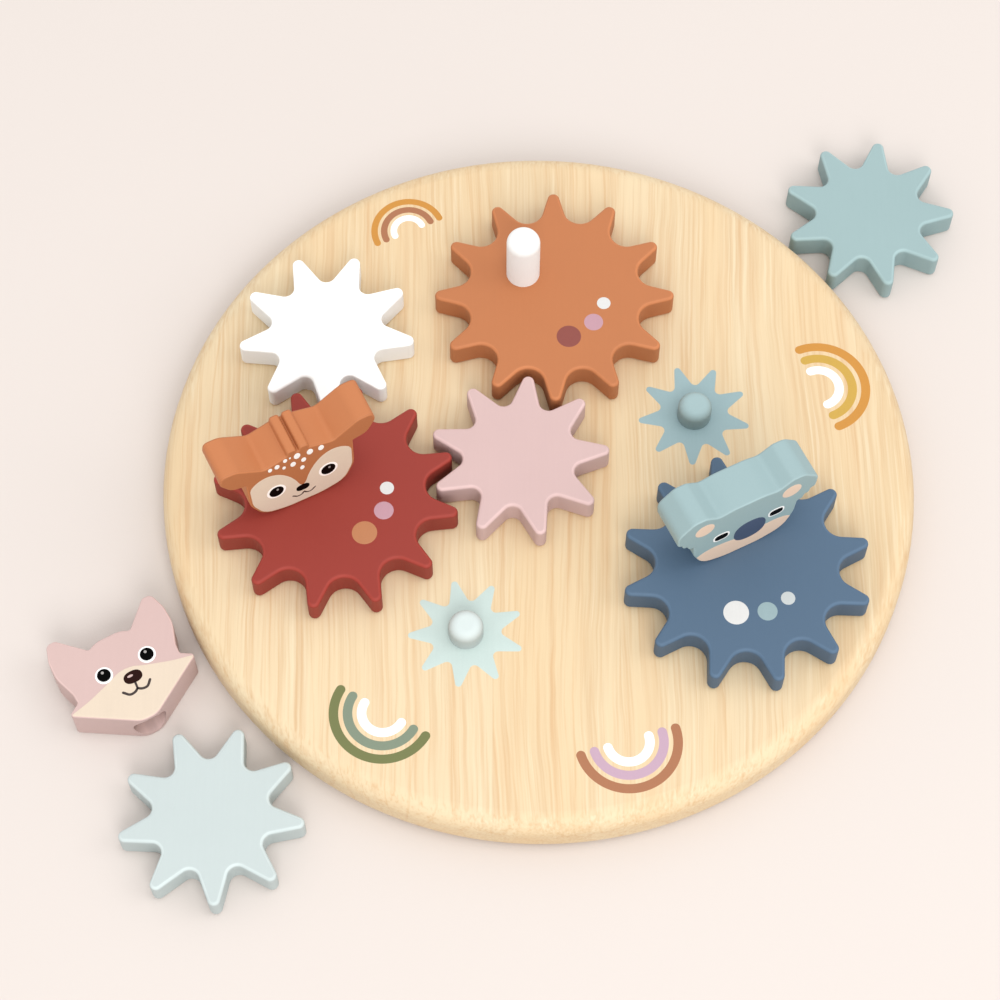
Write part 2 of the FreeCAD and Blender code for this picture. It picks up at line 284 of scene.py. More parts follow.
def ribbon_film(face, path, half_width, lift, height, cap_steps=6):
    """A film along a path, of one width: each point is set off by half of it along the normal.

    At the half-round ends that offset follows the cosine, and the path runs on by the sine.
    """
    normals = path_normals(path)
    turn = np.linspace(0, math.pi / 2, cap_steps)[1:, None]
    first, last = normals[0], normals[-1]
    back = np.array([-first[1], first[0]])
    ahead = np.array([last[1], -last[0]])
    start = path[0] + back * half_width * np.sin(turn[::-1])
    end = path[-1] + ahead * half_width * np.sin(turn)
    middle = np.concatenate([start, path, end])
    side = np.concatenate([np.broadcast_to(first, start.shape) * np.cos(turn[::-1]), normals,
                           np.broadcast_to(last, end.shape) * np.cos(turn)]) * half_width
    return ruled_film(face, middle - side, middle + side, lift, height)


def build_piece(name, surfaces, body, slot, material):
    """One object from several closed surfaces, smooth but for its sharp turns."""
    points, faces, count = [], [], 0
    for surface_points, quads, caps in surfaces:
        points.append(surface_points)
        faces += (quads + count).tolist() + (caps + count).tolist()
        count += len(surface_points)
    mesh = bpy.data.meshes.new(name)
    mesh.from_pydata(np.concatenate(points), [], faces)
    mesh.shade_smooth()
    mesh.set_sharp_from_angle(angle=SHARP_TURN)
    mesh.materials.append(material)
    piece = bpy.data.objects.new(name, mesh)
    bpy.context.scene.collection.objects.link(piece)
    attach(piece, body)
    return piece


# ============================== materials ==============================

class Wire:
    """A shader socket in an expression: each operator adds the Math node that it stands for."""

    def __init__(self, bench, socket):
        self.bench = bench
        self.socket = socket

    def math(self, operation, *values):
        inputs = dict(enumerate(values))
        return self.bench.node("ShaderNodeMath", {"operation": operation}, inputs)

    def __add__(self, other):
        return self.math("ADD", self, other)

    def __radd__(self, other):
        return self.math("ADD", other, self)

    def __sub__(self, other):
        return self.math("SUBTRACT", self, other)

    def __rsub__(self, other):
        return self.math("SUBTRACT", other, self)

    def __mul__(self, other):
        return self.math("MULTIPLY", self, other)

    def __rmul__(self, other):
        return self.math("MULTIPLY", other, self)

    def __truediv__(self, other):
        return self.math("DIVIDE", self, other)

    def __rtruediv__(self, other):
        return self.math("DIVIDE", other, self)

    def part(self):
        """What is left above the whole number below."""
        return self.math("FRACT", self)

    def whole(self):
        """The whole number below."""
        return self.math("FLOOR", self)

    def size(self):
        """The number without its sign."""
        return self.math("ABSOLUTE", self)

    def rise(self, low, high):
        """0 below low, 1 above high, and a smooth step between."""
        return self.bench.node("ShaderNodeMapRange", {"interpolation_type": "SMOOTHSTEP"},
                               {"Value": self, "From Min": low, "From Max": high})


class Bench:
    """A material being made: one method adds any node, the others name common groups of them."""

    def __init__(self, name):
        self.material = bpy.data.materials.new(name)
        self.material.use_nodes = True
        self.tree = self.material.node_tree
        self.tree.nodes.clear()

    def node(self, kind, settings=None, inputs=None, output=0):
        """Adds a node: its settings first, then a value or a link for each input."""
        made = self.tree.nodes.new(kind)
        for name, value in (settings or {}).items():
            setattr(made, name, value)
        for key, value in (inputs or {}).items():
            if isinstance(value, Wire):
                self.tree.links.new(value.socket, made.inputs[key])
            else:
                made.inputs[key].default_value = value
        return Wire(self, made.outputs[output])

    def place(self):
        """The point on the piece, in millimetres from the toy's origin."""
        metres = self.node("ShaderNodeTexCoord", output="Object")
        return self.vector("SCALE", metres, scale=1 / MM)

    def facing(self, axis):
        """1 where the surface faces along an axis or against it, 0 where it runs along it."""
        return self.along(self.node("ShaderNodeTexCoord", output="Normal"), axis).size()

    def vector(self, operation, first, second=None, scale=None, output=0):
        inputs = {0: first}
        if second is not None:
            inputs[1] = second
        if scale is not None:
            inputs["Scale"] = scale
        return self.node("ShaderNodeVectorMath", {"operation": operation}, inputs, output)

    def along(self, vector, axis):
        """How far a vector reaches along an axis."""
        return self.vector("DOT_PRODUCT", vector, axis, output="Value")

    def split(self, vector):
        """A vector's three parts."""
        return [self.along(vector, axis) for axis in ((1, 0, 0), (0, 1, 0), (0, 0, 1))]

    def join(self, x, y, z):
        """A vector from its three parts."""
        return self.node("ShaderNodeCombineXYZ", None, {0: x, 1: y, 2: z})

    def noise(self, vector, scale=1.0, detail=2.0, roughness=0.5):
        """Noise between 0 and 1."""
        return self.node("ShaderNodeTexNoise", None, {"Vector": vector, "Scale": scale,
                         "Detail": detail, "Roughness": roughness}, "Fac")

    def chance(self, number):
        """A random number between 0 and 1 for each whole number."""
        return self.node("ShaderNodeTexWhiteNoise", {"noise_dimensions": "1D"}, {"W": number},
                         "Value")

    def mix(self, share, first, second):
        """A colour between two others."""
        first, second = (c if isinstance(c, Wire) else (*c, 1.0) for c in (first, second))
        return self.node("ShaderNodeMix", {"data_type": "RGBA"}, {0: share, 6: first, 7: second},
                         output=2)

    def shade(self, colour, factor):
        """A colour made lighter or darker by a factor that may vary over the surface."""
        colour = colour if isinstance(colour, Wire) else self.mix(0.0, colour, colour)
        return self.vector("SCALE", colour, scale=factor)

    def finish(self, colour, roughness, relief, relief_mm, mirror=LACQUER_MIRROR):
        """Ends in a Principled surface; relief between 0 and 1 is a height of relief_mm."""
        bump = self.node("ShaderNodeBump", None, {"Strength": 1.0, "Distance": relief_mm * MM,
                                                  "Height": relief})
        surface = self.node("ShaderNodeBsdfPrincipled", None, {
            "Base Color": colour, "Roughness": roughness, "Normal": bump,
            "Specular IOR Level": mirror})
        output = self.tree.nodes.new("ShaderNodeOutputMaterial")
        self.tree.links.new(surface.socket, output.inputs["Surface"])
        return self.material


def wood_figure(bench, place, run, stave_mm, seed):
    """Colour and relief of pale straight-grained wood; its fibres run along "Y" or "Z".

    Bands, lines and threads are noise drawn out along the fibres, and all waver together a little.
    Pale fibres show between the threads in patches, thin warm growth lines come and go among them,
    and each glued stave has a tint of its own.
    """
    colours = bpy.context.scene.toy_colours
    x, y, z = bench.split(place)
    across, fibre, deep = {"Y": (x, y, z), "Z": (x, z, y)}[run]
    lane = across / stave_mm + seed
    luck = bench.chance(lane.whole() + seed)
    slow = bench.join(across * 0.011, fibre * 0.006, deep * 0.011 + luck * 40.0)
    sway = bench.noise(slow, detail=1.0) - 0.5
    waver = bench.noise(bench.join(across * 0.08, fibre * 0.06, deep * 0.08), detail=1.0) - 0.5
    course = across + sway * SWAY_REACH + waver * WAVER_REACH

    def drawn_out(size, detail, shift):
        """Noise of about this width across the fibres and this length along them."""
        width, fibre_length = size
        point = bench.join(course / width, fibre / fibre_length, deep / width + shift)
        return bench.noise(point, detail=detail)

    apart = luck * 30.0
    bands, lines = drawn_out(BANDS, 1.0, apart), drawn_out(LINES, 2.0, apart)
    threads, hairs = drawn_out(THREADS, 2.0, apart), drawn_out(HAIRS, 1.0, apart)
    patches = drawn_out(PATCHES, 1.0, 0.0).rise(0.38, 0.62)
    ring = course / RING_WIDTH + bands * 6.0
    ring_edge = ring.part().rise(0.82, 0.96) * (1.0 - ring.part().rise(0.96, 1.0))
    shown = bench.noise(slow + bench.join(3.1, 5.7, 1.9), scale=1.6, detail=1.0).rise(0.46, 0.62)
    growth = ring_edge * shown * (bench.chance(ring.whole() + luck * 90.0) * 0.6 + 0.4)
    tone = bench.mix(bands.rise(0.35, 0.65) * 0.60, colours.board_light, colours.board_warm)
    tone = bench.mix(lines.rise(0.50, 0.72) * 0.32 + threads.rise(0.48, 0.70) * 0.36, tone,
                     colours.board_streak)
    tone = bench.mix(growth * 0.50, tone, colours.board_growth)
    tone = bench.mix((1.0 - threads.rise(0.32, 0.46)) * patches * 0.4, tone, colours.board_cream)
    seam = 1.0 - ((lane.part() - 0.5).size() - 0.5).size().rise(0.0016, 0.0052)
    darkness = lines * 0.05 + threads * (0.07 + patches * 0.05) + hairs * 0.07 + seam * 0.03
    tone = bench.shade(tone, 1.11 + luck * 0.02 - darkness)
    relief = threads * 0.4 + hairs * 0.2 + lines * 0.2 - growth * 0.2 - seam * 0.4 + 0.4
    return tone, relief


def board_wood():
    """Satin lacquer over the board's wood: grain along Y, glued staves, and a rim darkened and warmed by painted
    shade.
    """
    bench = Bench("board_wood")
    place = bench.place()
    tone, relief = wood_figure(bench, place, "Y", BOARD_STAVE, 0.37)
    # Painted shade: the rounded rim is tinted towards a darker, warmer tone.
    rim = 1.0 - bench.facing(UP).rise(0.05, 0.75)
    tone = bench.mix(rim * 0.12, tone, bpy.context.scene.toy_colours.board_rim_shade)
    haze = bench.noise(place, scale=0.35, detail=3.0)
    roughness = haze * 0.16 + 0.40 + relief * 0.05
    return bench.finish(tone, roughness, relief, PAINT_RELIEF)


def bore_mask(bench, place, mouth, axis, depth):
    """1 on bare wood in a round socket that runs from its mouth along an axis, 0 on paint.

    Paint reaches a little way into the mouth and fades out there.
    """
    reach = bench.vector("SUBTRACT", place, tuple(c / MM for c in mouth))
    deep = bench.along(reach, axis)
    foot = bench.vector("SCALE", tuple(axis), scale=deep)
    aside = bench.vector("DISTANCE", reach, foot, output="Value")
    within = 1.0 - aside.rise(SOCKET_RADIUS / MM + 0.05, SOCKET_RADIUS / MM + 0.15)
    painted = SOCKET_PAINT_DEPTH / MM
    bare = deep.rise(painted, painted + SOCKET_PAINT_FADE / MM)
    return within * bare * (1.0 - deep.rise(depth / MM + 0.1, depth / MM + 0.3))


def paint(name, colour, faces_along, grain="Y", side_shade=0.0, edge_highlight=0.15, domed=False,
          bore=None, bare_below=None, seed=0.0):
    """Satin water paint on wood: faint grain below, mottled tone, a painted highlight on rounded edges.

    faces_along is the normal of the flat faces, whose rounded borders get a painted highlight as strong as
    edge_highlight;
    painted shade darkens the sides by side_shade, or lightens them where it is negative, and on a domed top
    it spreads over the shoulders. bore is the mouth, axis and depth of a socket with bare wood inside, and below
    bare_below all is bare.
    """
    bench = Bench(name)
    place = bench.place()
    x, y, z = bench.split(place)
    across, fibre, deep = {"Y": (x, y, z), "Z": (x, z, y)}[grain]
    drawn_out = bench.join(across * 1.1 + seed, fibre * 0.035, deep * 1.1)
    fibres = bench.noise(drawn_out, detail=4.0, roughness=0.6)
    mottle = bench.noise(place, scale=0.045, detail=3.0)
    brushed = bench.noise(place, scale=0.5, detail=2.0)
    peel = bench.noise(place, scale=2.4, detail=2.0)
    brightness = 0.955 + mottle * 0.05 + fibres * 0.035 + brushed * 0.012
    facing = bench.facing(faces_along)
    # Painted shade: the sides, and on a domed top its shoulders too, are darkened by side_shade, or lightened
    # where it is negative.
    side = 1.0 - facing.rise(0.05, 0.98 if domed else 0.55)
    edge = facing.rise(0.30, 0.70) * (1.0 - facing.rise(0.93, 0.998))
    # Painted highlight: the rounded borders of the flat faces are made lighter by edge_highlight.
    painted_highlight = edge * (0.7 + mottle.rise(0.35, 0.65) * 0.6) * edge_highlight
    tone = bench.shade(colour, brightness + painted_highlight - side * side_shade)
    roughness = 0.48 + peel * 0.08 + mottle * 0.08
    relief = fibres * 0.45 + peel * 0.35 + brushed * 0.2
    bare = None
    if bore is not None:
        bare = bore_mask(bench, place, *bore)
    if bare_below is not None:
        bare = 1.0 - z.rise(bare_below / MM - 0.25, bare_below / MM - 0.1)
    if bare is not None:
        wood, wood_relief = wood_figure(bench, place, grain, PEG_STAVE, 0.2 + seed)
        tone = bench.mix(bare, tone, wood)
        roughness = roughness + bare * 0.25
        relief = relief * (1.0 - bare) + wood_relief * bare
    return bench.finish(tone, roughness, relief, PAINT_RELIEF, PAINT_MIRROR)


def ink(name, colour, roughness=0.44, mottling=0.05):
    """Printed paint: slightly uneven tone, with the grain of the wood below just felt."""
    bench = Bench(name)
    place = bench.place()
    x, y, z = bench.split(place)
    fibres = bench.noise(bench.join(x * 1.1, y * 0.05, z * 1.1), detail=3.0)
    speckle = bench.noise(place, scale=1.7, detail=2.0)
    patches = bench.noise(place, scale=0.12, detail=2.0)
    brightness = 1.0 - mottling * 0.5 + (patches - 0.5) * mottling + (speckle - 0.5) * mottling
    tone = bench.shade(colour, brightness + (fibres - 0.5) * mottling)
    relief = fibres * 0.6 + speckle * 0.4
    return bench.finish(tone, roughness + speckle * 0.10, relief, INK_RELIEF)


def satin_ink(name, colour):
    """A smoother, more mottled print for a large nose."""
    return ink(name, colour, 0.36, 0.12)


def eye_gloss(name, colour):
    """Black or brown of the eyes and noses: deep, and hardly mirroring."""
    bench = Bench(name)
    place = bench.place()
    speckle = bench.noise(place, scale=1.1, detail=2.0)
    tone = bench.shade(colour, 0.85 + speckle * 0.3)
    return bench.finish(tone, 0.48 + speckle * 0.10, speckle, GLOSS_RELIEF, GLOSS_MIRROR)


def dress(node, material):
    """Gives a node of the frame its material."""
    piece = frame["nodes"][node]
    for material_slot in piece.material_slots:
        material_slot.material = material


# ============================== settings that a user may change ==============================

def srgb(code):
    """A colour code such as "d98b60" as linear red, green and blue."""
    parts = [int(code[i:i + 2], 16) / 255 for i in (0, 2, 4)]
    return tuple(p / 12.92 if p <= 0.04045 else ((p + 0.055) / 1.055) ** 2.4 for p in parts)


def tint(name, description, code):
    """A colour that a user may change."""
    return FloatVectorProperty(name=name, description=description, default=srgb(code),
                               subtype="COLOR", size=3, min=0.0, max=1.0)


def length(name, description, millimetres):
    """A length that a user may change."""
    return FloatProperty(name=name, description=description, default=millimetres * MM,
                         unit="LENGTH", subtype="DISTANCE", min=0.0)


class ToyColours(PropertyGroup):
    """Colours of the wood and the paints."""

    board_light: tint("Light wood", "Palest wood of the board", "d3be9b")
    board_cream: tint("Cream fibre", "Pale fibres of the board", "dacbad")
    board_warm: tint("Warm wood", "Warmer bands of the board", "cfb38a")
    board_streak: tint("Grain streak", "Darker lines and threads of the board", "c69f72")
    board_growth: tint("Growth line", "Thin warm growth lines of the board", "c49b6b")
    # Painted shade on the board's rounded rim.
    board_rim_shade: tint("Rim", "Wood on the board's rounded rim", "b19364")
    orange: tint("Orange", "Orange gear", "b06e45")
    pink: tint("Pink", "Pink gear", "c2a6a3")
    red: tint("Red", "Red gear", "8c3228")
    white: tint("White", "White gear and bare crank peg", "ededeb")
    navy: tint("Navy", "Navy gear", "4b6177")
    light_blue: tint("Light blue", "Light blue gear", "90a7a8")
    mint: tint("Mint", "Mint gear", "b5bfbe")
    # Teal peg and mint peg are lighter copies of the light blue and mint paints: a painted highlight on the bare
    # pegs' domes.
    teal_peg: tint("Teal peg", "Peg of the light blue gear", "99b0b2")
    mint_peg: tint("Mint peg", "Peg of the mint gear", "c4cecc")
    teal_star: tint("Teal star", "Star round the light blue gear's peg", "90a9ad")
    mint_star: tint("Mint star", "Star round the mint gear's peg", "b8c8c3")
    deer: tint("Deer", "Deer head", "a66740")
    koala: tint("Koala", "Koala head", "8ba1a3")
    fox: tint("Fox", "Fox head", "c2a7a2")
    cream: tint("Cream", "Muzzles of the deer and the fox", "d2c1ad")
    koala_cream: tint("Koala's chin", "Chin and ears of the koala", "dac0aa")
    koala_nose: tint("Koala's nose", "Nose of the koala", "3e4a63")
    fox_nose: tint("Fox's nose", "Nose of the fox", "281512")
    black: tint("Black", "Eyes", "040404")
    eye_rim: tint("Eye rim", "Pale rings round the deer's eyes", "f8f2ec")
    glint: tint("Glint", "Small highlights painted in the eyes", "96928f")
    mouth: tint("Mouth", "Lines of the mouths", "2e1f1b")
    amber: tint("Amber", "Outer bands of the rainbows", "be822e")
    yellow: tint("Yellow", "Inner bands of the rainbows", "bd973c")
    brown: tint("Brown", "Bands of the rainbows", "9e6643")
    sage: tint("Sage", "Bands of the rainbows", "74816d")
    olive: tint("Olive", "Bands of the rainbows", "666b3a")
    lilac: tint("Lilac", "Bands of the rainbows", "b596a8")
    red_dot: tint("Red dot", "Dot on the orange gear", "813e35")
    lilac_dot: tint("Lilac dot", "Dots on the orange and red gears", "b38994")
    white_dot: tint("White dot", "Dots on the large gears", "cdccca")
    orange_dot: tint("Orange dot", "Dot on the red gear", "ae724a")
    light_blue_dot: tint("Light blue dot", "Dot on the navy gear", "889ea2")
    pale_dot: tint("Pale dot", "Smallest dot on the navy gear", "b5baba")
    floor: tint("Floor", "Floor and backdrop", "d0c7c1")


class ToySizes(PropertyGroup):
    """Sizes of the printed layers."""

    board_print: length("Board print", "Height of the prints on the board", 0.03)
    face_print: length("Face print", "Height of each layer on the faces", 0.05)
    star_tip: length("Star tip", "Tip radius of the star under a medium gear", 20.9)
    star_valley: length("Star valley", "Valley radius of the star under a medium gear", 12.8)
    large_star_tip: length("Large star tip", "Tip radius of the star under a large gear", 27.6)
    large_star_valley: length("Large star valley", "Valley radius of the star under a large gear",
                              20.3)
    star_tip_round: length("Star tip round", "Rounding of the stars' tips", 1.2)
    arch_band: length("Arch band", "Width of each band of a rainbow", 3.4)
    arch_inner: length("Arch inner", "Middle radius of a rainbow's inner band", 7.6)
    arch_step: length("Arch step", "From the middle of one band to the next", 5.0)
    dot_ring: length("Dot ring", "Radius of the arc that a gear's dots lie on", 19.0)
    largest_dot: length("Largest dot", "Radius of the largest dot on a gear", 4.6)


class ToyStage(PropertyGroup):
    """Camera and light."""

    elevation: FloatProperty(name="Elevation", description="Camera's angle above the horizon",
                             default=math.radians(64.1), subtype="ANGLE", unit="ROTATION")
    distance: FloatProperty(name="Distance", description="From the camera to its aim",
                            default=0.9817, unit="LENGTH", subtype="DISTANCE")
    lens: FloatProperty(name="Lens", description="Focal length in millimetres on a 36 mm sensor",
                        default=93.7)
    key_light: FloatProperty(name="Key light", default=9.0,
                             description="Power of the light above, in watts")
    front_light: FloatProperty(name="Front light", default=23.0,
                               description="Power of the light in front, in watts")
    side_light: FloatProperty(name="Side light", default=6.5,
                              description="Power of the light at the right, in watts")
    sky: FloatProperty(name="Sky", description="Brightness of the surroundings", default=1.02)


# ============================== faces to print on ==============================

HEAD_HEIGHTS = {"deer": 42.6 * MM, "koala": 39.8 * MM, "fox": 43.2 * MM}

# Right halves of the heads' outlines, from the chin's middle to the crown's: each corner is
# (distance from the middle, height above the chin, rounding radius), in shares of the height.
HEAD_HALVES = {
    "deer": [(0.1643, 0.0000, 0.4695), (0.3873, 0.0610, 0.2113), (0.4836, 0.2934, 0.3286),
             (0.4906, 0.6901, 0.0188), (0.6197, 0.7183, 0.1174), (0.7089, 0.8826, 0.1174),
             (0.6901, 1.0000, 0.0563), (0.5516, 1.0000, 0.1408), (0.3099, 0.8310, 0.0610),
             (0.1056, 0.9014, 0.0117), (0.0939, 0.9624, 0.0282), (0.0188, 0.9624, 0.0258),
             (0.0059, 0.9108, 0.0047)],
    "koala": [(0.1759, 0.0000, 0.5025), (0.4171, 0.0653, 0.2261), (0.5126, 0.3015, 0.3769),
              (0.5276, 0.5025, 0.0201), (0.5804, 0.5101, 0.0251), (0.5930, 0.5729, 0.0176),
              (0.6407, 0.5829, 0.0251), (0.6508, 0.6482, 0.0176), (0.6960, 0.6658, 0.0352),
              (0.7085, 0.8392, 0.1382), (0.5528, 1.0000, 0.1131), (0.4322, 1.0000, 0.0754),
              (0.2965, 0.9045, 0.0754), (0.1508, 0.9372, 0.3518)],
    "fox": [(0.0694, 0.0000, 0.1852), (0.5833, 0.3287, 0.0278), (0.4676, 0.4028, 0.0231),
            (0.4722, 0.4861, 0.1389), (0.5370, 0.6829, 0.2778), (0.5324, 0.8449, 0.2083),
            (0.4838, 1.0000, 0.0556), (0.4028, 1.0000, 0.0463), (0.1898, 0.7870, 0.0278),
            (0.1042, 0.8264, 0.2315)],
}


def head_border(name):
    """The head's outline in metres: the right half and its mirror image."""
    half = np.array(HEAD_HALVES[name])
    return rounded_outline(np.concatenate([half, (half * (-1, 1, 1))[::-1]]) * HEAD_HEIGHTS[name])


def standing_face(name, foot):
    """The front of a head that stands on a crank peg, from the foot of its socket."""
    across = (math.cos(STANDING_HEAD_TURN), math.sin(STANDING_HEAD_TURN), 0)
    face = Face(foot, across, UP, head_border(name))
    face.origin = face.origin + face.out * HEAD_THICKNESS / 2
    return face


def fox_face():
    """The upper side of the fox's head, which lies on its back."""
    mount = MOUNTS["fox_head_socket"]
    chin = np.array(mount["pos_m"]) + np.array(mount["axis"]) * HEAD_SOCKET_DEPTH / 2
    across = (math.cos(FOX_TURN), math.sin(FOX_TURN), 0)
    up = (-math.sin(FOX_TURN), math.cos(FOX_TURN), 0)
    return Face((chin[0], chin[1], HEAD_THICKNESS), across, up, head_border("fox"))


def cheek_films(face, lift, height, upper_half, inset_mm):
    """A muzzle: from an upper edge, given from the middle to the right, down to the chin's border.

    The lower edge is the head's outline from the chin's middle to the upper edge's end, drawn in.
    """
    border = face.border
    count = len(border) // 2
    right = np.concatenate([[(0.0, border[:count, 1].min())], border[:count]])
    normals = path_normals(right)
    inset = right + normals * inset_mm * MM
    inset[0] = (0.0, right[0, 1] + inset_mm * MM)
    end_height = upper_half[-1][1] * MM
    last = int(np.argmax(inset[:, 1] > end_height))
    share = (end_height - inset[last - 1, 1]) / (inset[last, 1] - inset[last - 1, 1])
    end = inset[last - 1] + (inset[last] - inset[last - 1]) * share
    lower = evenly(np.concatenate([inset[:last], [end]]), CHEEK_POINTS)
    upper = smooth_path(np.array(upper_half) * MM)
    upper = evenly(np.concatenate([upper[:-1], [end]]), CHEEK_POINTS)
    return [ruled_film(face, mirrored(lower), mirrored(upper), lift, height)]


def oval_films(face, lift, height, ovals, power=2.0, count=40):
    """Ovals, each given by its middle and its half widths."""
    films = []
    for u, v, across, up in np.array(ovals) * MM:
        films.append(patch_film(face, oval((u, v), across, up, power, count), (u, v), lift, height))
    return films


def line_films(face, lift, height, *lines):
    """Lines, each given by its path and half its width."""
    return [ribbon_film(face, path * MM, half_width * MM, lift, height) for path, half_width in lines]


def pair(u, v, across, up, aside=0.0):
    """Two ovals, mirrored about the middle and then both set a little to one side."""
    return [(side * u + aside, v, across, up) for side in (-1, 1)]


def lips(half, aside=0.0):
    """A smooth path through points from the middle to the right and their mirror images."""
    return mirrored(smooth_path(half)) + (aside, 0.0)


# The deer's spots: across, up and half width; they are taller than wide.
DEER_SPOTS = [(-11.2, 33.7, 0.8), (-8.5, 34.0, 0.95), (-6.0, 31.2, 0.65), (-2.5, 31.0, 1.05),
              (0.7, 25.8, 0.85), (-5.2, 36.0, 0.8), (-3.3, 36.4, 0.4), (-0.6, 35.8, 1.25),
              (1.6, 31.1, 0.95), (4.3, 34.9, 1.2), (8.6, 34.3, 1.1)]
SPOT_STRETCH = 1.6

# The layers of each face, in millimetres across from the middle and up from the chin: how many
# layers lie below it, what makes it, its shape, its finish and its colour.
FACES = {
    "deer": {
        "muzzle": (0, cheek_films, ([(0.0, 12.4), (1.3, 14.4), (2.6, 18.6), (5.1, 23.8), (8.5, 27.9),
                                     (12.3, 29.6), (15.9, 28.9), (18.8, 26.4), (19.9, 23.6)], 1.0),
                   ink, "cream"),
        "eye_rims": (1, oval_films, (pair(10.2, 16.2, 3.7, 4.5),), ink, "eye_rim"),
        "eyes": (2, oval_films, (pair(10.2, 16.2, 2.8, 3.5),), eye_gloss, "black"),
        "eye_glints": (3, oval_films, (pair(10.2, 17.4, 0.45, 0.7, 0.5),), ink, "glint"),
        "nose": (1, oval_films, ([(-0.2, 10.9, 2.6, 2.2)], 2.4), eye_gloss, "black"),
        "mouth": (1, line_films, ((lips([(0, 7.3), (1.0, 5.9), (2.6, 5.6), (4.4, 7.2)]), 0.34),),
                  ink, "mouth"),
        "spots": (0, oval_films, ([(u, v, half, SPOT_STRETCH * half) for u, v, half in DEER_SPOTS],
                                  2.0, 20), ink, "white"),
    },
    "koala": {
        "chin": (0, cheek_films, ([(0.0, 9.5), (4.0, 11.3), (8.0, 12.2), (12.5, 12.5), (16.5, 11.6),
                                   (19.6, 9.4)], 0.4), ink, "koala_cream"),
        "eye_rims": (1, oval_films, (pair(11.1, 19.1, 3.3, 2.7, 1.2), 2.6), ink, "white"),
        "eyes": (2, oval_films, (pair(11.1, 19.1, 2.65, 1.95, 1.2), 3.0), eye_gloss, "black"),
        "nose": (1, oval_films, ([(2.0, 14.4, 6.4, 6.9)], 2.3), satin_ink, "koala_nose"),
        "ears": (0, oval_films, (pair(17.4, 31.0, 3.8, 4.1),), ink, "koala_cream"),
    },
    "fox": {
        "muzzle": (0, cheek_films, ([(0.0, 21.1), (3.0, 20.7), (5.7, 19.6), (8.3, 18.6), (11.8, 17.4),
                                     (16.0, 16.0), (20.4, 14.9), (23.9, 14.1)], 0.3), ink, "cream"),
        "eye_rims": (1, oval_films, (pair(8.5, 22.3, 3.25, 3.25, 1.0),), ink, "white"),
        "eyes": (2, oval_films, (pair(8.5, 22.4, 2.5, 2.5, 1.0),), eye_gloss, "black"),
        "eye_glints": (3, oval_films, (pair(8.5, 23.5, 0.55, 0.55, 0.9),), ink, "glint"),
        "nose": (1, oval_films, ([(1.4, 16.9, 3.5, 2.4)], 2.3), eye_gloss, "fox_nose"),
        "nose_glint": (2, oval_films, ([(0.6, 17.6, 1.1, 0.45)], 2.0, 24), ink, "fox"),
        "mouth": (1, line_films, ((lips([(0, 12.1), (1.5, 11.2), (3.5, 11.2), (5.3, 13.0)], 1.0), 0.48),
                                  (evenly(np.array([(1.0, 12.1), (1.2, 14.6)]), 8), 0.42)),
                  ink, "mouth"),
    },
}


# How each head is painted: its grain, how much painted shade darkens its sides (a negative share lightens them),
# and where its figure starts.
HEAD_PAINTS = {"deer": ("Z", -0.22, 3.0), "koala": ("Z", -0.06, 17.0), "fox": ("Y", 0.08, 23.0)}


def dress_head(animal, face, socket):
    """Paints a head, bare deep in its socket, and prints the layers of its face."""
    grain, side_shade, seed = HEAD_PAINTS[animal]
    colours, height = bpy.context.scene.toy_colours, bpy.context.scene.toy_sizes.face_print
    bore = (tuple(socket), tuple(face.up), HEAD_SOCKET_DEPTH)
    dress(animal + "_head", paint(animal + "_head_paint", getattr(colours, animal), tuple(face.out),
                                  grain, side_shade=side_shade, bore=bore, seed=seed))
    for layer, (below, maker, shape, finish, colour) in FACES[animal].items():
        name = animal + "_" + layer
        films = maker(face, below * height, height, *shape)
        build_piece(name, films, animal, animal + "_paint",
                    finish(name + "_print", getattr(colours, colour)))


# ============================== prints on the board and the gears ==============================

# Teeth and flank slope of each kind of gear, which the star on its peg repeats.
GEAR_KINDS = {"medium": (9, math.radians(17.0)), "large": (12, math.radians(15.5))}
TEAL_STAR_TURN, MINT_STAR_TURN, HIDDEN_STAR_TURN = 26.6, 22.5, 10.0


def gear_star(sizes, kind, place, turn_degrees):
    """A star about a peg, with as many points as the peg's gear has teeth."""
    points, slope = GEAR_KINDS[kind]
    tip, valley = sizes.star_tip, sizes.star_valley
    if kind == "large":
        tip, valley = sizes.large_star_tip, sizes.large_star_valley
    turn = math.radians(turn_degrees)
    return star_outline(points, tip, valley, slope, sizes.star_tip_round, turn) + place


# Each rainbow: its place in millimetres, turn in degrees, scale, and bands from the inside out.
RAINBOWS = {
    "lower_left": ((-56.0, -96.0), 150.0, 1.0, ("white", "sage", "olive")),
    "lower_right": ((31.0, -107.0), 197.0, 1.0, ("white", "lilac", "brown")),
    "right": ((106.0, 35.0), -68.0, 1.0, ("white", "yellow", "amber")),
    "upper_left": ((-50.0, 104.5), 26.0, 0.75, ("white", "brown", "amber")),
}
ARCH_POINTS = 48

# Each large gear's dots, from the largest to the smallest.
GEAR_DOTS = {
    "orange": ("red_dot", "lilac_dot", "white_dot"),
    "red": ("orange_dot", "lilac_dot", "white_dot"),
    "navy": ("white_dot", "light_blue_dot", "pale_dot"),
}
# The first dot's angle from the line away from the crank, how much smaller each next dot is, and
# the angle to it: that of some radii, and a little more.
FIRST_DOT_ANGLE, DOT_SHRINK, DOT_PITCH, DOT_GAP_ANGLE = -0.62, 0.22, 2.15, 0.08


# ============================== operators ==============================

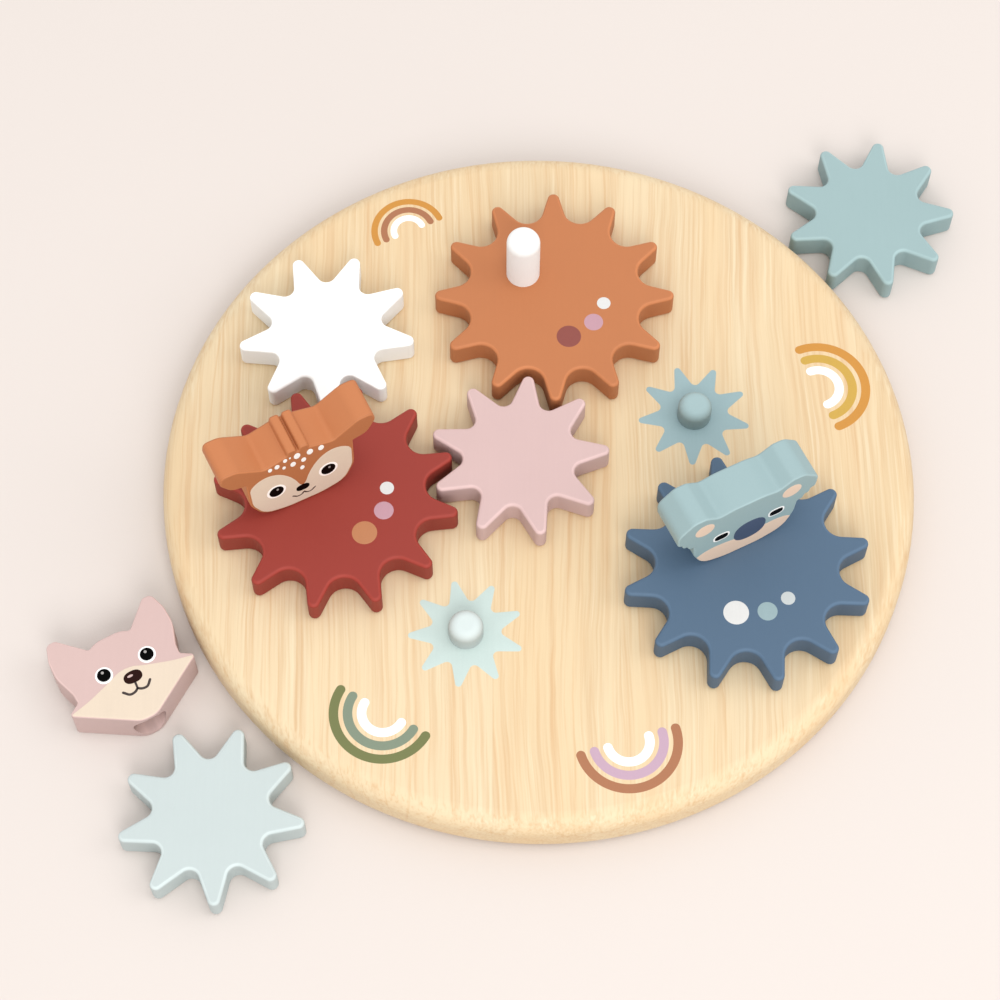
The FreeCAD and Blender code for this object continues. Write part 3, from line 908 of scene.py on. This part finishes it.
class TOY_OT_board(Operator):
    """Lacquers the board and prints its stars and rainbows"""

    bl_idname = "toy.board"
    bl_label = "Board"

    def execute(self, context):
        colours, sizes = context.scene.toy_colours, context.scene.toy_sizes
        dress("board", board_wood())
        top = Face((0, 0, BOARD_TOP), (1, 0, 0), (0, 1, 0))
        stars = {"light_blue": (MOUNTS["teal_peg"], "medium", TEAL_STAR_TURN, colours.teal_star,
                                "teal_peg_paint"),
                 "mint": (MOUNTS["mint_peg"], "medium", MINT_STAR_TURN, colours.mint_star,
                          "mint_peg_paint")}
        for name in LARGE_GEARS + MEDIUM_GEARS:
            kind = "large" if name in LARGE_GEARS else "medium"
            stars[name] = (JOINTS[name + "_spin"], kind, HIDDEN_STAR_TURN, getattr(colours, name),
                           name + "_paint")
        for name, (peg, kind, turn, colour, slot) in stars.items():
            place = np.array(peg["pos_m"][:2])
            film = patch_film(top, gear_star(sizes, kind, place, turn), place, 0.0, sizes.board_print)
            build_piece(name + "_star", [film], "board", slot, ink(name + "_star_ink", colour))
        for name, (place, turn, scale, bands) in RAINBOWS.items():
            angle = np.linspace(0, math.pi, ARCH_POINTS) + math.radians(turn)
            arch = np.stack([np.cos(angle), np.sin(angle)], axis=1)
            half_width = sizes.arch_band * scale / 2
            for index, band in enumerate(bands):
                path = arch * (sizes.arch_inner + sizes.arch_step * index) * scale
                path = path + np.array(place) * MM
                film = ribbon_film(top, path, half_width, 0.0, sizes.board_print)
                piece = "rainbow_" + name + "_" + band
                build_piece(piece, [film], "board", "board_wood", ink(piece, getattr(colours, band)))
        return {"FINISHED"}


class TOY_OT_pegs(Operator):
    """Paints the pegs, with bare wood on the tenons that stand in the board and the gears"""

    bl_idname = "toy.pegs"
    bl_label = "Pegs"

    def execute(self, context):
        colours = context.scene.toy_colours
        # The bare pegs' colours are lighter copies of their gears' paints, a painted highlight on their domes.
        pegs = {"teal_peg": colours.teal_peg, "mint_peg": colours.mint_peg}
        for name in LARGE_GEARS + MEDIUM_GEARS:
            pegs[name + "_axle_peg"] = getattr(colours, name)
        for seed, (node, colour) in enumerate(pegs.items()):
            # Painted shade darkens the domes' shoulders and the pegs' sides.
            dress(node, paint(node + "_paint", colour, UP, "Z", side_shade=0.30, edge_highlight=0.0,
                              domed=True, bare_below=BOARD_TOP, seed=seed * 7.0))
        for seed, name in enumerate(LARGE_GEARS):
            node = name + "_crank_peg"
            # Painted shade darkens the crank pegs' domes towards their sides.
            dress(node, paint(node + "_paint", colours.white, UP, "Z", side_shade=0.08, edge_highlight=0.0,
                              domed=True, bare_below=GEAR_TOP, seed=seed * 11.0))
        return {"FINISHED"}


class TOY_OT_gears(Operator):
    """Paints the gears, bare deep in their sockets, and prints dots on the large ones"""

    bl_idname = "toy.gears"
    bl_label = "Gears"

    def execute(self, context):
        colours, sizes = context.scene.toy_colours, context.scene.toy_sizes
        mouths = {name: (*JOINTS[name + "_spin"]["pos_m"][:2], BOARD_TOP)
                  for name in LARGE_GEARS + MEDIUM_GEARS}
        for name in LOOSE_GEARS:
            mouths[name] = (*MOUNTS[name + "_gear_socket"]["pos_m"][:2], 0.0)
        for seed, (name, mouth) in enumerate(mouths.items()):
            # Painted shade darkens each gear's sides.
            dress(name + "_gear", paint(name + "_gear_paint", getattr(colours, name), UP,
                                        side_shade=0.10, bore=(mouth, UP, GEAR_SOCKET_DEPTH),
                                        seed=seed * 13.0))
        top = Face((0, 0, GEAR_TOP), (1, 0, 0), (0, 1, 0))
        inks = {dot: ink(dot, getattr(colours, dot)) for dots in GEAR_DOTS.values() for dot in dots}
        for name, dots in GEAR_DOTS.items():
            centre = np.array(JOINTS[name + "_spin"]["pos_m"][:2])
            crank = np.array(JOINTS[name + "_crank_spin"]["pos_m"][:2]) - centre
            angle = math.atan2(-crank[1], -crank[0]) + FIRST_DOT_ANGLE
            for index, dot in enumerate(dots):
                radius = sizes.largest_dot * (1.0 - DOT_SHRINK * index)
                middle = centre + sizes.dot_ring * np.array([math.cos(angle), math.sin(angle)])
                film = patch_film(top, oval(middle, radius, radius), middle, 0.0, sizes.board_print)
                build_piece(name + "_gear_" + dot, [film], name + "_gear", name + "_paint", inks[dot])
                angle += DOT_PITCH * radius / sizes.dot_ring + DOT_GAP_ANGLE
        return {"FINISHED"}


class TOY_OT_deer(Operator):
    """Paints the deer's head and prints its face"""

    bl_idname = "toy.deer"
    bl_label = "Deer"

    def execute(self, context):
        foot = JOINTS["red_crank_spin"]["pos_m"]
        dress_head("deer", standing_face("deer", foot), foot)
        return {"FINISHED"}


class TOY_OT_koala(Operator):
    """Paints the koala's head and prints its face"""

    bl_idname = "toy.koala"
    bl_label = "Koala"

    def execute(self, context):
        foot = JOINTS["navy_crank_spin"]["pos_m"]
        dress_head("koala", standing_face("koala", foot), foot)
        return {"FINISHED"}


class TOY_OT_fox(Operator):
    """Paints the fox's head and prints its face"""

    bl_idname = "toy.fox"
    bl_label = "Fox"

    def execute(self, context):
        face = fox_face()
        dress_head("fox", face, face.origin - face.out * HEAD_THICKNESS / 2)
        return {"FINISHED"}


# Place and side of each lamp, in metres; the stage's settings hold their powers.
LAMPS = {"key_light": ((0.2, 0.0, 2.4), 0.9),
         "front_light": ((0.3, -1.8, 1.6), 1.2),
         "side_light": ((1.4, -0.2, 1.5), 1.2)}
CAMERA_AIM = (-0.0144, -0.0033, 0.0)
SENSOR_WIDTH_MM = 36.0
FLOOR_RADIUS, FLOOR_SIDES = 12.0, 96


class TOY_OT_stage(Operator):
    """Sets up the floor, the lights and the camera"""

    bl_idname = "toy.stage"
    bl_label = "Stage"

    def execute(self, context):
        scene, stage = context.scene, context.scene.toy_stage
        build_floor(scene.toy_colours.floor)
        build_world(scene, stage.sky)
        for name, (place, side) in LAMPS.items():
            area_light(name, place, side, getattr(stage, name))
        camera = bpy.data.objects.new("camera", bpy.data.cameras.new("camera"))
        scene.collection.objects.link(camera)
        back = np.array((0.0, -math.cos(stage.elevation), math.sin(stage.elevation)))
        camera.location = np.array(CAMERA_AIM) + back * stage.distance
        camera.rotation_euler = (math.pi / 2 - stage.elevation, 0.0, 0.0)
        camera.data.lens = stage.lens
        camera.data.sensor_width = SENSOR_WIDTH_MM
        scene.camera = camera
        scene.view_settings.view_transform = "Standard"
        return {"FINISHED"}


def build_floor(colour):
    """A round pale floor: one ring of points about its middle, by cosine and sine."""
    angle = np.linspace(0, 2 * math.pi, FLOOR_SIDES, endpoint=False)
    ring = np.stack([np.cos(angle), np.sin(angle), np.zeros(FLOOR_SIDES)], axis=1) * FLOOR_RADIUS
    mesh = bpy.data.meshes.new("floor")
    mesh.from_pydata(ring, [], [list(range(FLOOR_SIDES))])
    bench = Bench("floor_paper")
    place = bench.place()
    cloud = bench.noise(place, scale=0.004, detail=2.0)
    tooth = bench.noise(place, scale=1.2, detail=2.0)
    tone = bench.shade(colour, 0.985 + cloud * 0.03)
    mesh.materials.append(bench.finish(tone, 0.85 + tooth * 0.05, tooth, FLOOR_RELIEF))
    floor = bpy.data.objects.new("floor", mesh)
    bpy.context.scene.collection.objects.link(floor)


def build_world(scene, strength):
    """Even white light from all round."""
    world = bpy.data.worlds.new("surroundings")
    world.use_nodes = True
    background = world.node_tree.nodes["Background"]
    background.inputs["Color"].default_value = (1.0, 1.0, 1.0, 1.0)
    background.inputs["Strength"].default_value = strength
    scene.world = world


def area_light(name, place, side, power):
    """A square soft light that looks at the toy."""
    light = bpy.data.objects.new(name, bpy.data.lights.new(name, "AREA"))
    light.data.shape = "SQUARE"
    light.data.size = side
    light.data.energy = power
    light.location = place
    light.rotation_euler = (-light.location).to_track_quat("-Z", "Y").to_euler()
    bpy.context.scene.collection.objects.link(light)


BUILDERS = (TOY_OT_board, TOY_OT_pegs, TOY_OT_gears, TOY_OT_deer, TOY_OT_koala, TOY_OT_fox,
            TOY_OT_stage)


class TOY_PT_pieces(Panel):
    """Buttons that build the finish of each group of pieces"""

    bl_idname = "TOY_PT_pieces"
    bl_label = "Gear toy"
    bl_space_type = "VIEW_3D"
    bl_region_type = "UI"
    bl_category = "Gear Toy"

    def draw(self, context):
        for builder in BUILDERS:
            self.layout.operator(builder.bl_idname)


GROUPS = {"toy_colours": ToyColours, "toy_sizes": ToySizes, "toy_stage": ToyStage}


def register():
    for kind in (*GROUPS.values(), *BUILDERS, TOY_PT_pieces):
        bpy.utils.register_class(kind)
    for name, group in GROUPS.items():
        setattr(bpy.types.Scene, name, PointerProperty(type=group))


def unregister():
    for name in GROUPS:
        delattr(bpy.types.Scene, name)
    for kind in reversed((*GROUPS.values(), *BUILDERS, TOY_PT_pieces)):
        bpy.utils.unregister_class(kind)


def main():
    """Builds every piece."""
    register()
    bpy.ops.toy.board()
    bpy.ops.toy.pegs()
    bpy.ops.toy.gears()
    bpy.ops.toy.deer()
    bpy.ops.toy.koala()
    bpy.ops.toy.fox()
    bpy.ops.toy.stage()


if __name__ == "__main__":
    main()
